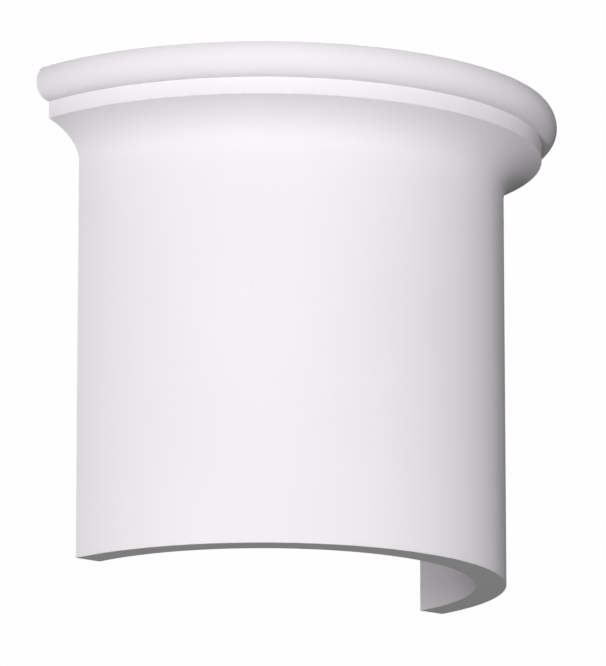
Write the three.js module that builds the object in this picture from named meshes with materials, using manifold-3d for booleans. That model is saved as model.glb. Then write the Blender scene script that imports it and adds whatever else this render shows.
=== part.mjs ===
// Half column segment: the upper length of a half round column that is fixed against a wall.
// It is one hollow moulded shell, open behind. A plain shaft flares through a cove to a flat
// fillet, and a half round bead above the fillet is cut off flat where the capital would sit.
//
// Millimetres, +Z up. The wall is on the +Y side and the round front faces -Y.
// The origin is the middle of the underside of the part's bounding box.

import * as THREE from "three";
import { mergeVertices } from "three/addons/utils/BufferGeometryUtils.js";
import Module from "manifold-3d";

// Driving dimensions
const SHAFT_RADIUS = 150; // outer face of the shaft
const WALL = 19; // thickness of the shell at the shaft
const HEIGHT = 300; // underside to flat top
const COVE_HEIGHT = 24; // hollow curve from the shaft to the fillet
const COVE_BEND = 15; // height in the cove where its end slope would meet the shaft
const FILLET_PROJECTION = 24; // face of the fillet beyond the face of the shaft
const FILLET_HEIGHT = 10.3;
const BEAD_HEIGHT = 20.5; // top of the fillet to the flat top
const BEAD_REACH = 9.8; // belly of the bead beyond the face of the fillet
const BEAD_LOWER_RADIUS = 10.7; // curve below the belly
const BEAD_UPPER_RADIUS = 14.3; // fuller curve above the belly

// Fineness of the round faces
const RING_STEPS = 144; // around a whole turn
const COVE_STEPS = 10;
const BEAD_STEPS = 8; // below the belly and again above it

// Sizes that follow
const BORE_RADIUS = SHAFT_RADIUS - WALL;
const FILLET_RADIUS = SHAFT_RADIUS + FILLET_PROJECTION;
const FILLET_TOP = HEIGHT - BEAD_HEIGHT;
const FILLET_FOOT = FILLET_TOP - FILLET_HEIGHT;
const BELLY_RADIUS = FILLET_RADIUS + BEAD_REACH;
const BELLY_RISE = Math.sqrt(BEAD_LOWER_RADIUS ** 2 - (BEAD_LOWER_RADIUS - BEAD_REACH) ** 2);
const BELLY_HEIGHT = FILLET_TOP + BELLY_RISE;

// Cove: a curve that leaves the shaft upright and leans out to the lower edge of the fillet
function covePoints() {
  const foot = FILLET_FOOT - COVE_HEIGHT;
  const curve = new THREE.QuadraticBezierCurve(
    new THREE.Vector2(SHAFT_RADIUS, foot),
    new THREE.Vector2(SHAFT_RADIUS, foot + COVE_BEND),
    new THREE.Vector2(FILLET_RADIUS, FILLET_FOOT),
  );
  return curve.getPoints(COVE_STEPS);
}

// Arc of the bead with its widest point at the belly, between two angles up from level
function beadArc(radius, from, to) {
  const points = [];
  for (let i = 0; i <= BEAD_STEPS; i++) {
    const angle = from + ((to - from) * i) / BEAD_STEPS;
    const across = BELLY_RADIUS - radius * (1 - Math.cos(angle));
    points.push(new THREE.Vector2(across, BELLY_HEIGHT + radius * Math.sin(angle)));
  }
  return points;
}

// Bead: from the upper edge of the fillet round to the belly, then up to the flat top
function beadPoints() {
  const start = -Math.asin(BELLY_RISE / BEAD_LOWER_RADIUS);
  const end = Math.asin((HEIGHT - BELLY_HEIGHT) / BEAD_UPPER_RADIUS);
  const lower = beadArc(BEAD_LOWER_RADIUS, start, 0);
  const upper = beadArc(BEAD_UPPER_RADIUS, 0, end);
  return [...lower, ...upper.slice(1)];
}

// Section of the shell as distance from the column's axis and height, closed on itself
function section() {
  return [
    new THREE.Vector2(BORE_RADIUS, 0),
    new THREE.Vector2(SHAFT_RADIUS, 0),
    ...covePoints(),
    ...beadPoints(),
    new THREE.Vector2(BORE_RADIUS, HEIGHT),
    new THREE.Vector2(BORE_RADIUS, 0),
  ];
}

const wasm = await Module();
wasm.setup();

// Solid of a closed geometry
function solid(geometry) {
  geometry.deleteAttribute("normal");
  geometry.deleteAttribute("uv");
  const merged = mergeVertices(geometry);
  const mesh = new wasm.Mesh({
    numProp: 3,
    vertProperties: merged.attributes.position.array,
    triVerts: Uint32Array.from(merged.index.array),
  });
  return new wasm.Manifold(mesh);
}

// Geometry of a solid
function geometryOf(body) {
  const mesh = body.getMesh();
  const geometry = new THREE.BufferGeometry();
  geometry.setAttribute("position", new THREE.BufferAttribute(mesh.vertProperties, mesh.numProp));
  geometry.setIndex(new THREE.BufferAttribute(mesh.triVerts, 1));
  geometry.computeVertexNormals();
  return geometry;
}

// Whole ring of the section around the column's axis
function ring() {
  const turned = new THREE.LatheGeometry(section(), RING_STEPS);
  turned.rotateX(Math.PI / 2);
  return solid(turned);
}

// Everything on the wall's side of the plane through the axis
function wallSide() {
  const span = 4 * BELLY_RADIUS;
  const block = new THREE.BoxGeometry(span, span, 2 * span);
  block.translate(0, span / 2, 0);
  return solid(block);
}

const polyurethane = new THREE.MeshStandardMaterial({
  color: new THREE.Color(0.86, 0.86, 0.87),
  roughness: 0.6,
  metalness: 0,
});

const shell = new THREE.Mesh(geometryOf(ring().subtract(wallSide())), polyurethane);
shell.name = "half_column_segment";
shell.position.y = BELLY_RADIUS / 2;

const part = new THREE.Group();
part.add(shell);

export default part;
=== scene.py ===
# %% [markdown]
# # Half column segment
# The upper length of a half round column for a wall: one hollow moulded shell of rigid
# polyurethane in white primer. It has a plain shaft, a hollow cove, a flat fillet and a
# half round bead, and it is open behind and at both ends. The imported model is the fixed
# frame. It gives the real size and place, and everything here is made around it in
# metres, with +Z up and the round front towards -Y.

# %% Load the frame
import math

import bpy
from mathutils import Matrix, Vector


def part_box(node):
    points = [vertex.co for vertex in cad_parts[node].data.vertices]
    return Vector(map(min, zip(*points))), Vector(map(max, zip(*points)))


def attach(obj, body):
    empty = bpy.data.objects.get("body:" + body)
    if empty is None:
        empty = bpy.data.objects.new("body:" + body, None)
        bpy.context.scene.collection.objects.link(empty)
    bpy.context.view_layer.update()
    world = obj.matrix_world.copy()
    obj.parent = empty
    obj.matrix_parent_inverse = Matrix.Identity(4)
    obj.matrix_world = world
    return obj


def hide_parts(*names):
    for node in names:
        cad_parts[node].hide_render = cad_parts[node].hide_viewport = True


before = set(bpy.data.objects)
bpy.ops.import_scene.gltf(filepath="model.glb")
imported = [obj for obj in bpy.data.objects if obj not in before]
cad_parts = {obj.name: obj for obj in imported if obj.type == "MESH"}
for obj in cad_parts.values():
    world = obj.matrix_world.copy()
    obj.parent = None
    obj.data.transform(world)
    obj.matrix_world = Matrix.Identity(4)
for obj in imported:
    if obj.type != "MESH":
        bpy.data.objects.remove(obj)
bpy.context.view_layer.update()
NODE = "half_column_segment"
low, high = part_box(NODE)
print("shell", [round(v * 1000, 1) for v in high - low], "mm")

# %% [markdown]
# ## Shaft and wall
# The real shell is half a ring of moulded foam, with the same bore all the way up, so its
# axis lies in the plane of the back. Height and axis are read from the frame, so that the
# finished piece fills the same space. Every radius is measured from the axis. The sizes
# of each moulding are named where that moulding is drawn.

# %% Sizes of the shaft
MM = 0.001
SHAFT_RADIUS = 150 * MM
WALL = 19 * MM
BORE_RADIUS = SHAFT_RADIUS - WALL
HEIGHT = high.z
AXIS_Y = high.y
print("bore", round(BORE_RADIUS / MM, 1), "mm in radius, axis at y", round(AXIS_Y / MM, 1), "mm")

# %% [markdown]
# ## Fillet
# The fillet is the flat upright band between the cove and the bead. It stands 24 mm
# proud of the shaft. It needs no curve, only the heights of its two edges, counted down
# from the top of the shell.

# %% Edges of the fillet
BEAD_HEIGHT = 20.5 * MM
FILLET_HEIGHT = 10.3 * MM
FILLET_PROJECTION = 24 * MM
FILLET_RADIUS = SHAFT_RADIUS + FILLET_PROJECTION
FILLET_TOP = HEIGHT - BEAD_HEIGHT
FILLET_FOOT = FILLET_TOP - FILLET_HEIGHT
print("fillet from", round(FILLET_FOOT / MM, 1), "to", round(FILLET_TOP / MM, 1), "mm")

# %% [markdown]
# ## Cove
# The cove is the hollow curve that carries the shaft out to the fillet. It leaves the
# shaft without a break and turns outwards faster and faster. A quarter circle would end
# level, which the real one doesn't. A curve with one handle straight above its start
# does: the handle's height, COVE_BEND, says how late the cove turns.

# %% Draw the cove
COVE_HEIGHT = 24 * MM
COVE_BEND = 15 * MM
COVE_STEPS = 24


def cove_points():
    """Curve that leaves the shaft upright and leans out to the fillet's lower edge."""
    foot = FILLET_FOOT - COVE_HEIGHT
    points = []
    for i in range(COVE_STEPS + 1):
        t = i / COVE_STEPS
        out = SHAFT_RADIUS + FILLET_PROJECTION * t * t
        points.append((out, foot + 2 * t * (1 - t) * COVE_BEND + t * t * COVE_HEIGHT))
    return points


cove = cove_points()
print("cove of", len(cove), "points, from", round(cove[0][1] / MM, 1), "mm up")

# %% [markdown]
# ## Bead
# The bead is the round roll at the top. It isn't a true half circle: its lower half is
# rounder and its upper half flatter, where it runs out to the flat cut top. Two arcs that
# share an upright tangent at the belly give both halves without a break between them.

# %% Draw the bead
BEAD_REACH = 9.8 * MM
BEAD_LOWER_RADIUS = 10.7 * MM
BEAD_UPPER_RADIUS = 14.3 * MM
BEAD_STEPS = 16
BELLY_RADIUS = high.x
BELLY_RISE = math.sqrt(BEAD_LOWER_RADIUS**2 - (BEAD_LOWER_RADIUS - BEAD_REACH) ** 2)
BELLY_HEIGHT = FILLET_TOP + BELLY_RISE


def bead_arc(radius, start, end):
    """Arc of the bead between two angles up from level, widest at the belly."""
    points = []
    for i in range(BEAD_STEPS + 1):
        angle = start + (end - start) * i / BEAD_STEPS
        out = BELLY_RADIUS - radius * (1 - math.cos(angle))
        points.append((out, BELLY_HEIGHT + radius * math.sin(angle)))
    return points


lowest = -math.asin(BELLY_RISE / BEAD_LOWER_RADIUS)
highest = math.asin((HEIGHT - BELLY_HEIGHT) / BEAD_UPPER_RADIUS)
bead = bead_arc(BEAD_LOWER_RADIUS, lowest, 0) + bead_arc(BEAD_UPPER_RADIUS, 0, highest)[1:]
print("belly", round(BELLY_RADIUS / MM, 1), "mm out and", round(BELLY_HEIGHT / MM, 1), "mm up")

# %% [markdown]
# ## A clean start for each step
# Edit mode operators act on whatever is selected, and loading the frame leaves its
# nodes selected. This helper makes one object the only one selected.


# %% Select one object
def only(obj):
    """Leaves object mode with this object alone selected and active."""
    if bpy.context.object and bpy.context.object.mode != "OBJECT":
        bpy.ops.object.mode_set(mode="OBJECT")
    bpy.ops.object.select_all(action="DESELECT")
    obj.select_set(True)
    bpy.context.view_layer.objects.active = obj


# %% [markdown]
# ## The section
# The real shell is poured in a mould that was turned to one section, so the model starts
# from that section too. Rings could be stacked and bridged, but one closed line is
# easier to check against the real rim. A small plane is added at the foot of the bore
# and merged to one corner. That corner is extruded from point to point, up the outside
# and back to the bore, and the closed line is filled with one face.

# %% Draw the section
section = [(BORE_RADIUS, 0), (SHAFT_RADIUS, 0)] + cove + bead + [(BORE_RADIUS, HEIGHT)]


def draw_section(name, points):
    """Extrudes one corner of a plane along the section and fills the closed line."""
    bpy.ops.object.select_all(action="DESELECT")
    first_out, first_up = points[0]
    start = Vector((first_out, AXIS_Y, first_up))
    bpy.ops.mesh.primitive_plane_add(size=WALL, location=start)
    obj = bpy.context.object
    obj.name = name
    bpy.ops.object.transform_apply(location=True, rotation=True, scale=True)
    bpy.ops.object.mode_set(mode="EDIT")
    bpy.ops.mesh.select_all(action="SELECT")
    bpy.ops.mesh.merge(type="CENTER")
    previous = start
    for out, up in points[1:]:
        spot = Vector((out, AXIS_Y, up))
        bpy.ops.mesh.extrude_vertices_move(TRANSFORM_OT_translate={"value": spot - previous})
        previous = spot
    bpy.ops.mesh.select_all(action="SELECT")
    bpy.ops.mesh.edge_face_add()
    bpy.ops.object.mode_set(mode="OBJECT")
    return obj


shell = draw_section("moulded_shell", section)
print("section of", len(shell.data.vertices), "corners and", len(shell.data.polygons), "face")

# %% [markdown]
# ## Turning the shell
# Half a ring could be a whole ring cut in two, but a spin of half a turn needs no cut. The
# filled section stands in the plane of the back, at the right hand end, and is spun round
# the front to the left hand end. The filled face becomes the cut back at one end, and
# the last step of the spin leaves the same face at the other, so the shell is closed.
# A spin can leave faces inside out, so doubles are merged and normals made to agree.

# %% Spin half a turn
HALF_TURN_STEPS = 144
WELD = 0.001 * MM


def spin_half_turn(obj):
    """Sweeps the filled section round the front to the other side of the back."""
    only(obj)
    bpy.ops.object.mode_set(mode="EDIT")
    bpy.ops.mesh.select_all(action="SELECT")
    bpy.ops.mesh.spin(
        steps=HALF_TURN_STEPS, angle=math.pi, center=(0, AXIS_Y, 0), axis=(0, 0, 1), dupli=False
    )
    bpy.ops.mesh.select_all(action="SELECT")
    bpy.ops.mesh.remove_doubles(threshold=WELD)
    bpy.ops.mesh.normals_make_consistent(inside=False)
    bpy.ops.object.mode_set(mode="OBJECT")


spin_half_turn(shell)
front = min(v.co.y for v in shell.data.vertices)
print("front at y", round(front / MM, 2), "mm, frame", round(low.y / MM, 2))

# %% [markdown]
# ## Arrises
# Nothing that leaves a mould has a knife edge, and a coat of primer rounds it further.
# The arrises of the fillet, the bead and the cut ends get a radius of about a third of a
# millimetre. A bevel modifier finds them by angle, so the round faces keep their section,
# and it cuts inwards, so the piece stays inside the frame's box. It is applied at once.

# %% Round the arrises
ARRIS = 0.35 * MM
ARRIS_SEGMENTS = 3
SHARP = math.radians(32)

only(shell)
bpy.ops.object.shade_smooth()
rounding = shell.modifiers.new("arrises", "BEVEL")
rounding.width = ARRIS
rounding.segments = ARRIS_SEGMENTS
rounding.limit_method = "ANGLE"
rounding.angle_limit = SHARP
rounding.harden_normals = True
rounding.use_clamp_overlap = False
bpy.ops.object.modifier_apply(modifier="arrises")
print("shell has", len(shell.data.polygons), "faces with its arrises")

# %% [markdown]
# ## Tones
# The primer is an almost neutral white with a trace less green, and every finish of the
# shell is a darker or paler share of it. Powdery paint doesn't fade towards the edge of a
# round wall as a smooth white would. The shader's diffuse roughness gives that flat,
# even brightness, followed by a quick fall at the very edge.

# %% White of the primer
PRIMER = (0.80, 0.778, 0.80)
PRIMER_MATT = 0.4


def shade(colour, share):
    """A colour made darker or lighter by a share."""
    return tuple(channel * share for channel in colour)


print("primer", PRIMER, "and a tenth darker", [round(v, 3) for v in shade(PRIMER, 0.9)])

# %% [markdown]
# ## A finish as a recipe
# Each finish could be wired by hand in the shader editor. The three of this shell share
# the same few moves, so the moves are helpers, and each finish below reads as a recipe.
# This class holds one material: its shader, its output, and Object coordinates in metres,
# on which every grain has its real size and nothing stretches.


# %% A blank finish
class Finish:
    """A material with one shader, and helpers that add and join its nodes."""

    def __init__(self, name):
        self.material = bpy.data.materials.new(name)
        self.material.use_nodes = True
        self.tree = self.material.node_tree
        self.tree.nodes.clear()
        self.shader = self.node("ShaderNodeBsdfPrincipled")
        output = self.node("ShaderNodeOutputMaterial")
        self.join(self.shader.outputs["BSDF"], output.inputs["Surface"])
        self.place = self.node("ShaderNodeTexCoord").outputs["Object"]

    def node(self, kind, **settings):
        """Adds a node of one kind."""
        made = self.tree.nodes.new(kind)
        for key, value in settings.items():
            setattr(made, key, value)
        return made

    def join(self, source, target):
        """Links an output to an input."""
        self.tree.links.new(source, target)

    def feed(self, name, source):
        """Links an output to one of the shader's own inputs."""
        self.join(source, self.shader.inputs[name])

    def done(self):
        """Says how many nodes the finish took, and gives its material."""
        print(self.material.name, "has", len(self.tree.nodes), "nodes")
        return self.material


# %% [markdown]
# ## Grains and specks
# Clouds in a film, orange peel, foam cells and flow lines are all noise. They differ
# only in how many grains fit in a metre, and strokes are noise stretched along one way.
# Dust is Voronoi cells with only their middles kept. A noise hardly ever reaches 0 or 1,
# so `between` maps its useful stretch, the spread, to the values that are wanted.

# %% Noise and dots
SPREAD = (0.3, 0.7)
NARROW_SPREAD = (0.35, 0.65)
DOT_CORE = 0.6


def noise(finish, scale, detail=2.0, stretch=None):
    """Noise of so many grains a metre, or of so many along each axis."""
    made = finish.node("ShaderNodeTexNoise")
    made.inputs["Scale"].default_value = scale
    made.inputs["Detail"].default_value = detail
    source = finish.place
    if stretch:
        mapping = finish.node("ShaderNodeMapping")
        mapping.inputs["Scale"].default_value = stretch
        finish.join(finish.place, mapping.inputs["Vector"])
        source = mapping.outputs["Vector"]
    finish.join(source, made.inputs["Vector"])
    return made.outputs["Fac"]


def between(finish, factor, spread, wanted=(0, 1)):
    """Maps the stretch between two values onto the stretch that is wanted."""
    made = finish.node("ShaderNodeMapRange")
    made.inputs["From Min"].default_value = spread[0]
    made.inputs["From Max"].default_value = spread[1]
    made.inputs["To Min"].default_value = wanted[0]
    made.inputs["To Max"].default_value = wanted[1]
    finish.join(factor, made.inputs["Value"])
    return made.outputs["Result"]


def specks(finish, scale, size):
    """Dots scattered so many a metre: one inside a dot, nought between."""
    made = finish.node("ShaderNodeTexVoronoi")
    made.inputs["Scale"].default_value = scale
    finish.join(finish.place, made.inputs["Vector"])
    return between(finish, made.outputs["Distance"], (size * DOT_CORE, size), (1, 0))


# %% [markdown]
# ## Tones and relief
# A grain changes either the colour or the surface. `tone` runs between two shares of a
# white, `tint` lays one more over them, and `relief` turns a grain into bumps. All this
# relief is a fraction of a millimetre deep and changes no outline, so bump nodes are
# right for it, each with its true depth in metres and each laid on the one below.


# %% Colour and bump
def tone(finish, factor, shares, colour=PRIMER):
    """Colour between two shares of one colour."""
    made = finish.node("ShaderNodeMix", data_type="RGBA")
    made.inputs["A"].default_value = (*shade(colour, shares[0]), 1)
    made.inputs["B"].default_value = (*shade(colour, shares[1]), 1)
    finish.join(factor, made.inputs["Factor"])
    return made.outputs["Result"]


def tint(finish, factor, share, over):
    """Lays a share of the primer's white over another output where the factor is high."""
    made = finish.node("ShaderNodeMix", data_type="RGBA")
    made.inputs["B"].default_value = (*shade(PRIMER, share), 1)
    finish.join(over, made.inputs["A"])
    finish.join(factor, made.inputs["Factor"])
    return made.outputs["Result"]


def relief(finish, height, depth, below=None):
    """Bump of a real depth in metres, on top of another one."""
    made = finish.node("ShaderNodeBump")
    made.inputs["Strength"].default_value = 1.0
    made.inputs["Distance"].default_value = depth
    finish.join(height, made.inputs["Height"])
    if below:
        finish.join(below, made.inputs["Normal"])
    return made.outputs["Normal"]


# %% [markdown]
# ## Rubbed arrises
# Hands and packing polish a primed shell along its arrises first. The wear could be
# painted, or found by a pointiness node, but that node changes with the mesh. The
# arrises here are rings round the column's axis, so the distance to the nearest ring is
# worked out from radius and height. Broken up by a noise, it gives the rubbed patches.

# %% Distance to the arrises
ARRIS_RINGS = [
    (SHAFT_RADIUS, 0),
    (FILLET_RADIUS, FILLET_FOOT),
    (FILLET_RADIUS, FILLET_TOP),
    (bead[-1][0], HEIGHT),
]
RUB_REACH = 2.5 * MM


def calculate(finish, operation, *values):
    """One sum on outputs and plain numbers."""
    made = finish.node("ShaderNodeMath", operation=operation)
    for socket, value in zip(made.inputs, values):
        if isinstance(value, (int, float)):
            socket.default_value = value
        else:
            finish.join(value, socket)
    return made.outputs["Value"]


def near_rings(finish, rings, reach):
    """One along the rings, given as radius and height, and nought beyond a reach."""
    place = finish.node("ShaderNodeSeparateXYZ")
    finish.join(finish.place, place.inputs["Vector"])
    depth = calculate(finish, "SUBTRACT", place.outputs["Y"], AXIS_Y)
    across = calculate(finish, "MULTIPLY", place.outputs["X"], place.outputs["X"])
    along = calculate(finish, "MULTIPLY", depth, depth)
    radius = calculate(finish, "SQRT", calculate(finish, "ADD", across, along))
    nearest = None
    for ring_radius, ring_height in rings:
        gap = finish.node("ShaderNodeCombineXYZ")
        finish.join(calculate(finish, "SUBTRACT", radius, ring_radius), gap.inputs["X"])
        rise = calculate(finish, "SUBTRACT", place.outputs["Z"], ring_height)
        finish.join(rise, gap.inputs["Y"])
        length = finish.node("ShaderNodeVectorMath", operation="LENGTH")
        finish.join(gap.outputs["Vector"], length.inputs[0])
        reached = length.outputs["Value"]
        nearest = calculate(finish, "MINIMUM", nearest, reached) if nearest else reached
    return between(finish, nearest, (ARRIS, reach), (1, 0))


print("rings at radius", [round(ring[0] / MM, 1) for ring in ARRIS_RINGS], "mm")

# %% [markdown]
# ## Primer
# The primer is sprayed on at the factory and dries matt. Its film varies a little in
# thickness, which shows as clouds a hand wide and a faint sag of the surface. Spraying
# leaves an orange peel about two millimetres across, and here and there a speck of
# dust is caught. Rubbed arrises are a touch greyer and smoother than the rest. Each
# of these could be a picture, but noises never repeat and need no unwrapping. Grains
# are counted to the metre, and shares are shares of the primer's white.

# %% Primer on the moulded faces
CLOUD_GRAINS, CLOUD_SHARES = 9, (0.985, 1.01)
RUB_GRAINS, RUB_SPREAD = 160, (0.42, 0.62)
RUB_SHARE, RUB_POLISH = 0.95, 0.15
DUST_GRAINS, DUST_SIZE, DUST_DEPTH = 65, 0.055, 0.03 * MM
DUST_SHARE, DUST_COVER = 0.9, 0.5
MOTTLE_GRAINS, MOTTLE_ROUGHNESS = 240, (0.70, 0.84)
SAG_GRAINS, SAG_DEPTH = 14, 0.25 * MM
PEEL_GRAINS, PEEL_DEPTH = 520, 0.03 * MM


def primer():
    """Sprayed primer: cloudy film, orange peel, dust specks, rubbed arrises."""
    finish = Finish("white_primer")
    finish.shader.inputs["Diffuse Roughness"].default_value = PRIMER_MATT
    cloud = between(finish, noise(finish, CLOUD_GRAINS, detail=4), SPREAD)
    film = tone(finish, cloud, CLOUD_SHARES)
    rub = near_rings(finish, ARRIS_RINGS, RUB_REACH)
    patchy = between(finish, noise(finish, RUB_GRAINS, detail=3), RUB_SPREAD)
    rub = calculate(finish, "MULTIPLY", rub, patchy)
    dust = specks(finish, DUST_GRAINS, DUST_SIZE)
    coloured = tint(finish, rub, RUB_SHARE, film)
    faint_dust = calculate(finish, "MULTIPLY", dust, DUST_COVER)
    finish.feed("Base Color", tint(finish, faint_dust, DUST_SHARE, coloured))
    grains = noise(finish, MOTTLE_GRAINS, detail=3)
    mottle = between(finish, grains, SPREAD, MOTTLE_ROUGHNESS)
    polish = calculate(finish, "MULTIPLY", rub, RUB_POLISH)
    finish.feed("Roughness", calculate(finish, "SUBTRACT", mottle, polish))
    sag = relief(finish, noise(finish, SAG_GRAINS, detail=1), SAG_DEPTH)
    peel = relief(finish, noise(finish, PEEL_GRAINS, detail=2), PEEL_DEPTH, sag)
    finish.feed("Normal", relief(finish, dust, DUST_DEPTH, peel))
    return finish.done()


white_primer = primer()

# %% [markdown]
# ## Sawn faces
# The back and both ends are sawn flat after moulding. A saw opens the fine cells of the
# foam and leaves faint strokes across them, so these faces are rougher and a shade
# darker than the primer. The cells could be modelled, but at less than a millimetre
# they would cost millions of faces. One noise serves for cells, tone and roughness, so
# the colour is darkest where the pits are deepest. This is partly the cells' own tone
# and partly painted shade in the pits.

# %% Sawn foam on the cut faces
CELL_GRAINS, CELL_DEPTH = 1500, 0.03 * MM
CELL_TONE_AND_PIT_SHADE, CELL_ROUGHNESS = (0.81, 0.88), (0.8, 0.95)
STROKES, STROKE_DEPTH = (40, 900, 900), 0.03 * MM


def sawn_foam():
    """Cut faces: fine cells and faint strokes of the blade under a thin coat."""
    finish = Finish("sawn_foam")
    finish.shader.inputs["Diffuse Roughness"].default_value = PRIMER_MATT
    cells = noise(finish, CELL_GRAINS, detail=2)
    # Painted shade: darker where the cells' pits are deeper, partly the cells' own tone
    even = between(finish, cells, NARROW_SPREAD)
    finish.feed("Base Color", tone(finish, even, CELL_TONE_AND_PIT_SHADE))
    finish.feed("Roughness", between(finish, cells, SPREAD, CELL_ROUGHNESS))
    strokes = relief(finish, noise(finish, 1, detail=2, stretch=STROKES), STROKE_DEPTH)
    finish.feed("Normal", relief(finish, cells, CELL_DEPTH, strokes))
    return finish.done()


sawn_faces = sawn_foam()

# %% [markdown]
# ## Bore
# Foam that sets against the core of a mould forms a closed skin. It is never seen on the
# wall, so it stays bare: smooth and a little less even than the primer, with soft flow
# lines where the foam rose. Its tone is set about a tenth paler than the primer's white.
# That is painted light, which brightens the bore. The same noise as before gives the
# flow lines, stretched upright.

# %% Raw skin in the bore
SKIN_CLOUD_GRAINS = 16
SKIN_TONE_AND_PAINTED_LIGHT, SKIN_ROUGHNESS = (1.08, 1.12), (0.64, 0.8)
SKIN_GRAINS, SKIN_DEPTH = 900, 0.012 * MM
FLOW_LINES, FLOW_DEPTH = (60, 60, 12), 0.3 * MM


def raw_skin_and_painted_light():
    """Bore: the smooth skin that formed against the core, with faint flow lines."""
    finish = Finish("raw_skin_and_painted_light")
    cloud = between(finish, noise(finish, SKIN_CLOUD_GRAINS, detail=5), SPREAD)
    # Painted light: a tone a tenth paler than the primer brightens the bore
    finish.feed("Base Color", tone(finish, cloud, SKIN_TONE_AND_PAINTED_LIGHT))
    finish.feed("Roughness", between(finish, cloud, (0, 1), SKIN_ROUGHNESS))
    flow = relief(finish, noise(finish, 1, detail=3, stretch=FLOW_LINES), FLOW_DEPTH)
    finish.feed("Normal", relief(finish, noise(finish, SKIN_GRAINS, detail=2), SKIN_DEPTH, flow))
    return finish.done()


bore_skin = raw_skin_and_painted_light()

# %% [markdown]
# ## Which face has which finish
# The shell is one casting, so it stays one piece with three material slots. Faces could
# be picked by hand, but a rule survives a change of size: the flat ends and the back are
# sawn, the faces that look at the axis are the bore, and all others are primed. The
# deepest faces of the bore look backwards too, so the back is also told by its place.

# %% Give each face its finish
FLAT = 0.999
PRIMED, SAWN, RAW = range(3)


def finish_of(face):
    """Index of the finish of one face, from its normal and place."""
    normal, middle = face.normal, face.center
    on_back = middle.y > AXIS_Y - ARRIS
    if abs(normal.z) > FLAT or (on_back and normal.y > FLAT):
        return SAWN
    outward = Vector((middle.x, middle.y - AXIS_Y, 0))
    if outward.length < SHAFT_RADIUS - ARRIS and normal.dot(outward) < 0:
        return RAW
    return PRIMED


for made in (white_primer, sawn_faces, bore_skin):
    shell.data.materials.append(made)
for face in shell.data.polygons:
    face.material_index = finish_of(face)
counts = [sum(f.material_index == i for f in shell.data.polygons) for i in range(3)]
print("faces primed, sawn, raw:", counts)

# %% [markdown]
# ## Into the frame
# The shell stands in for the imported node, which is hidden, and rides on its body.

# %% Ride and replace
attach(shell, "root")
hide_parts(NODE)

# %% [markdown]
# ## Floor
# The part is shown hanging against white paper and seen from below. A floor at its foot
# would hide it from there, so the floor lies far beneath, as a lit table of pale
# acrylic. It glows by itself. The glow is kept off the part by its ray visibility, or
# the underside would lose its shade.

# %% Lay the floor
FLOOR_DROP = 6.0
FLOOR_SIZE = 150.0
FLOOR_TONE = (0.86, 0.86, 0.86)
FLOOR_GRAINS, FLOOR_SHARES = 0.8, (0.97, 1)
FLOOR_ROUGHNESS = 0.9
FLOOR_GLOW = 0.85


def make_floor():
    """A wide pale table far below the part."""
    bpy.ops.object.select_all(action="DESELECT")
    bpy.ops.mesh.primitive_plane_add(size=FLOOR_SIZE, location=(0, 0, -FLOOR_DROP))
    floor = bpy.context.object
    floor.name = "floor"
    finish = Finish("pale_acrylic")
    finish.shader.inputs["Roughness"].default_value = FLOOR_ROUGHNESS
    pale = tone(finish, noise(finish, FLOOR_GRAINS, detail=3), FLOOR_SHARES, FLOOR_TONE)
    finish.feed("Base Color", pale)
    finish.feed("Emission Color", pale)
    finish.shader.inputs["Emission Strength"].default_value = FLOOR_GLOW
    floor.data.materials.append(finish.done())
    floor.visible_diffuse = False
    floor.visible_glossy = False


make_floor()

# %% [markdown]
# ## Lights
# One broad soft box above the lens lights the round wall evenly, and a weak one to its
# right lets the wall darken only towards its right edge. The underside of the shell is
# seen too, so a small lamp stands lower, beside the lens. A box high up behind reaches
# into the bore, and shows the top and back to anyone who walks round. Each place is
# given as azimuth and elevation, as on a globe round the part, with azimuth 0 in front
# and -90 at the left.

# %% Set the lights
CENTRE = Vector((0, 0, HEIGHT / 2))
SOFT_BOXES = {
    # name: azimuth, elevation, distance, width, height, watts
    "lens_lamp": (-55, -12.5, 3.6, 0.3, 0.3, 43),
    "key_box": (-47, 1, 3.0, 1.0, 1.0, 50),
    "right_box": (-14, 1, 3.0, 1.0, 1.0, 16.5),
    "back_box": (145, 45, 3.0, 1.0, 1.0, 56),
}


def towards(azimuth, elevation):
    """Direction from the part to a place round it, in degrees; azimuth 0 is the front."""
    a, e = math.radians(azimuth), math.radians(elevation)
    return Vector((math.sin(a) * math.cos(e), -math.cos(a) * math.cos(e), math.sin(e)))


def soft_box(name, azimuth, elevation, distance, width, height, watts):
    """An area light that faces the part."""
    data = bpy.data.lights.new(name, "AREA")
    data.shape = "RECTANGLE"
    data.size, data.size_y = width, height
    data.energy = watts
    light = bpy.data.objects.new(name, data)
    way = towards(azimuth, elevation)
    light.location = CENTRE + way * distance
    light.rotation_mode = "QUATERNION"
    light.rotation_quaternion = way.to_track_quat("Z", "Y")
    light.visible_camera = False
    bpy.context.scene.collection.objects.link(light)
    print(name, watts, "W at", [round(v, 2) for v in light.location])


for name, values in SOFT_BOXES.items():
    soft_box(name, *values)

# %% [markdown]
# ## World
# The world has two jobs that pull apart: the paper behind the part is white, but the
# light that reaches the part from all round is weak. The light path tells the two kinds
# of ray apart. The room is a little paler from below, as over a lit table.

# %% Hang the paper
PAPER = (1.0, 0.99, 1.0)
ROOM_ABOVE = (0.02, 0.02, 0.02)
ROOM_BELOW = (0.12, 0.12, 0.12)
HORIZON = 0.2


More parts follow.
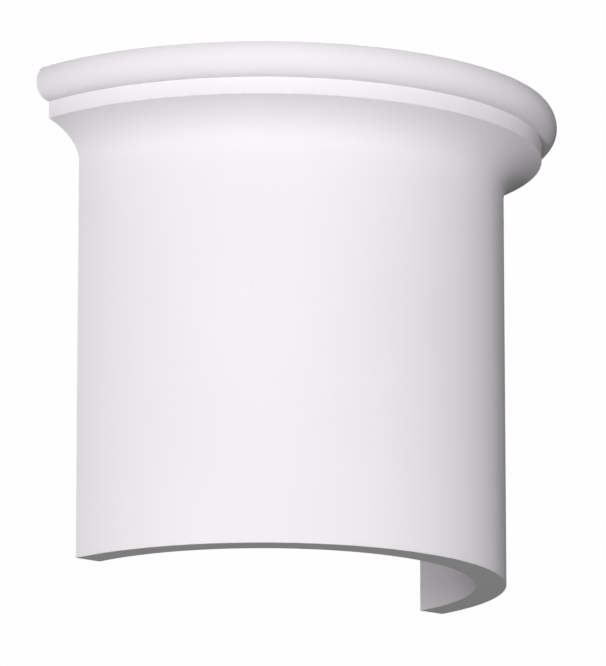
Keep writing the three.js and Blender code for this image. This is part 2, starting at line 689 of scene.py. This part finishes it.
def make_world():
    """White paper to the camera, a dim room to the part, a little paler from below."""
    world = bpy.data.worlds.new("studio")
    world.use_nodes = True
    tree = world.node_tree
    tree.nodes.clear()
    direction = tree.nodes.new("ShaderNodeSeparateXYZ")
    way = tree.nodes.new("ShaderNodeTexCoord")
    tree.links.new(way.outputs["Generated"], direction.inputs["Vector"])
    below = tree.nodes.new("ShaderNodeMapRange")
    below.inputs["From Min"].default_value = HORIZON
    below.inputs["From Max"].default_value = -HORIZON
    tree.links.new(direction.outputs["Z"], below.inputs["Value"])
    blend = tree.nodes.new("ShaderNodeMix")
    blend.data_type = "RGBA"
    blend.inputs["A"].default_value = (*ROOM_ABOVE, 1)
    blend.inputs["B"].default_value = (*ROOM_BELOW, 1)
    tree.links.new(below.outputs["Result"], blend.inputs["Factor"])
    room = tree.nodes.new("ShaderNodeBackground")
    tree.links.new(blend.outputs["Result"], room.inputs["Color"])
    paper = tree.nodes.new("ShaderNodeBackground")
    paper.inputs["Color"].default_value = (*PAPER, 1)
    rays = tree.nodes.new("ShaderNodeLightPath")
    mix = tree.nodes.new("ShaderNodeMixShader")
    tree.links.new(rays.outputs["Is Camera Ray"], mix.inputs["Fac"])
    tree.links.new(room.outputs["Background"], mix.inputs[1])
    tree.links.new(paper.outputs["Background"], mix.inputs[2])
    output = tree.nodes.new("ShaderNodeOutputWorld")
    tree.links.new(mix.outputs["Shader"], output.inputs["Surface"])
    bpy.context.scene.world = world
    print("paper", PAPER, "over a room of", ROOM_ABOVE[0], "to", ROOM_BELOW[0])


make_world()
bpy.context.scene.view_settings.view_transform = "Standard"

# %% [markdown]
# ## Camera
# The curves of the rims fix the viewpoint, because a ring looks flatter the nearer it is
# to the height of the eye. The place was fitted to the corners and rims of the real
# shell. It is low, to the left and far off, with a long lens, so the upright edges stay
# almost parallel. Its aim is set as a direction rather than with a tracking target.

# %% Set the camera
CAMERA_PLACE = Vector((-2.3688, -2.6364, -0.6421))
CAMERA_AZIMUTH = -41.351
CAMERA_ELEVATION = -12.527
SENSOR = 36.0
PHOTO_HEIGHT = 666
FOCAL_PIXELS = 5932


def make_camera():
    """Long lens below and to the left of the part, looking up at it."""
    data = bpy.data.cameras.new("camera")
    data.sensor_width = SENSOR
    data.lens = FOCAL_PIXELS / PHOTO_HEIGHT * SENSOR
    camera = bpy.data.objects.new("camera", data)
    camera.location = CAMERA_PLACE
    camera.rotation_mode = "QUATERNION"
    camera.rotation_quaternion = towards(CAMERA_AZIMUTH, CAMERA_ELEVATION).to_track_quat("Z", "Y")
    bpy.context.scene.collection.objects.link(camera)
    bpy.context.scene.camera = camera
    print("lens", round(data.lens), "mm, place", [round(v, 3) for v in camera.location])


make_camera()
